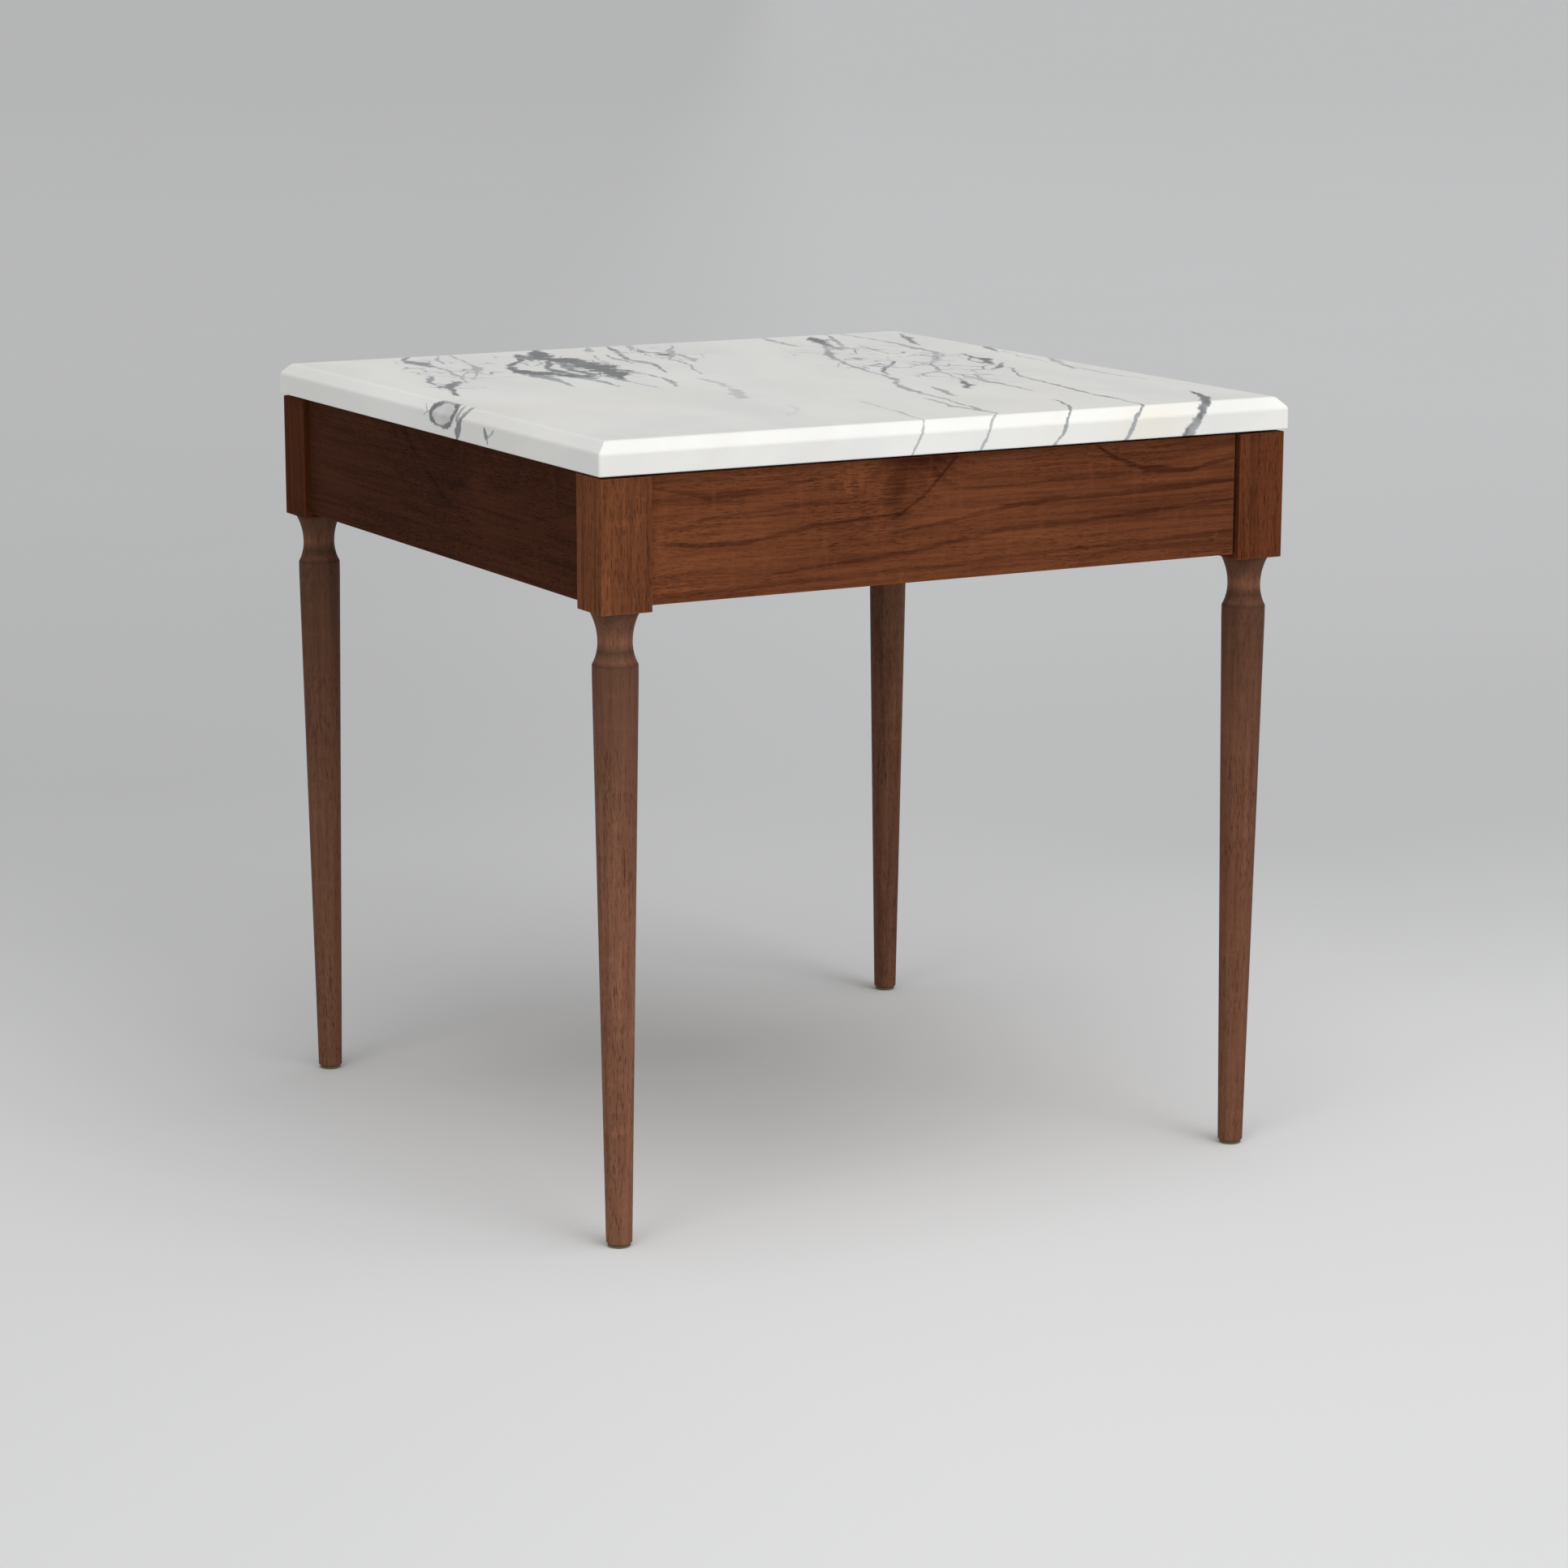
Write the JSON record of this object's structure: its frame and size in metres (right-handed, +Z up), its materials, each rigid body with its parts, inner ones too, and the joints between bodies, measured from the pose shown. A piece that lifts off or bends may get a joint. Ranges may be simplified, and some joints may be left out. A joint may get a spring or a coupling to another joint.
{
  "type": "side table with drawer",
  "caption": "Square side table: chamfered marble slab on a walnut case with turned tapering legs and a drawer that runs on ball-bearing slides.",
  "frame": {"origin": "on the floor, below the centre of the slab", "axes": "+Z up; the drawer opens towards -Y; +X is to the right of a person who faces the drawer"},
  "size_m": [0.553, 0.553, 0.5588],
  "materials": {
    "marble": "satin polish, white with grey veins",
    "walnut": "oiled walnut",
    "walnut_turned": "oiled walnut, turned",
    "drawer_wood": "satin lacquered maple",
    "inner_wood": "raw beech",
    "steel": "zinc plated",
    "rubber": "matt",
    "felt": "pressed felt, olive"
  },
  "bodies": {
    "frame": {"marble_top": "marble", "post_front_left": "walnut", "leg_front_left": "walnut_turned", "felt_foot_front_left": "felt", "slab_pad_front_left": "rubber", "post_front_right": "walnut", "leg_front_right": "walnut_turned", "felt_foot_front_right": "felt", "slab_pad_front_right": "rubber", "post_rear_left": "walnut", "leg_rear_left": "walnut_turned", "felt_foot_rear_left": "felt", "slab_pad_rear_left": "rubber", "post_rear_right": "walnut", "leg_rear_right": "walnut_turned", "felt_foot_rear_right": "felt", "slab_pad_rear_right": "rubber", "apron_left": "walnut", "apron_right": "walnut", "apron_rear": "walnut", "tenon_left_front": "inner_wood", "tenon_left_rear": "inner_wood", "tenon_right_front": "inner_wood", "tenon_right_rear": "inner_wood", "tenon_rear_left": "inner_wood", "tenon_rear_right": "inner_wood", "front_rail": "inner_wood", "rail_dowel_left": "inner_wood", "corner_brace_rear_left": "inner_wood", "brace_bolt_rear_left": "steel", "slide_batten_left": "inner_wood", "slide_cabinet_left": "steel", "cabinet_screw_left_front": "steel", "cabinet_screw_left_rear": "steel", "rail_dowel_right": "inner_wood", "corner_brace_rear_right": "inner_wood", "brace_bolt_rear_right": "steel", "slide_batten_right": "inner_wood", "slide_cabinet_right": "steel", "cabinet_screw_right_front": "steel", "cabinet_screw_right_rear": "steel"},
    "drawer": {"drawer_front": "walnut", "drawer_box_front": "drawer_wood", "drawer_box_back": "drawer_wood", "drawer_bottom": "drawer_wood", "drawer_side_left": "drawer_wood", "slide_drawer_left": "steel", "member_screw_left_front": "steel", "member_screw_left_rear": "steel", "front_screw_upper_left": "steel", "front_screw_lower_left": "steel", "drawer_side_right": "drawer_wood", "slide_drawer_right": "steel", "member_screw_right_front": "steel", "member_screw_right_rear": "steel", "front_screw_upper_right": "steel", "front_screw_lower_right": "steel"},
    "slide_middle_left": {"slide_middle_left": "steel"},
    "slide_middle_right": {"slide_middle_right": "steel"}
  },
  "joints": [
    {"name": "drawer_slide", "type": "slide", "parent": "frame", "child": "drawer", "axis": [0, -1, 0], "range_m": [0, 0.45]},
    {"name": "left_middle_run", "type": "slide", "parent": "frame", "child": "slide_middle_left", "axis": [0, -1, 0], "range_m": [0, 0.225]},
    {"name": "right_middle_run", "type": "slide", "parent": "frame", "child": "slide_middle_right", "axis": [0, -1, 0], "range_m": [0, 0.225]}
  ],
  "couplings": [
    {"joint": "left_middle_run", "follows": "drawer_slide", "ratio": 0.5},
    {"joint": "right_middle_run", "follows": "drawer_slide", "ratio": 0.5}
  ]
}
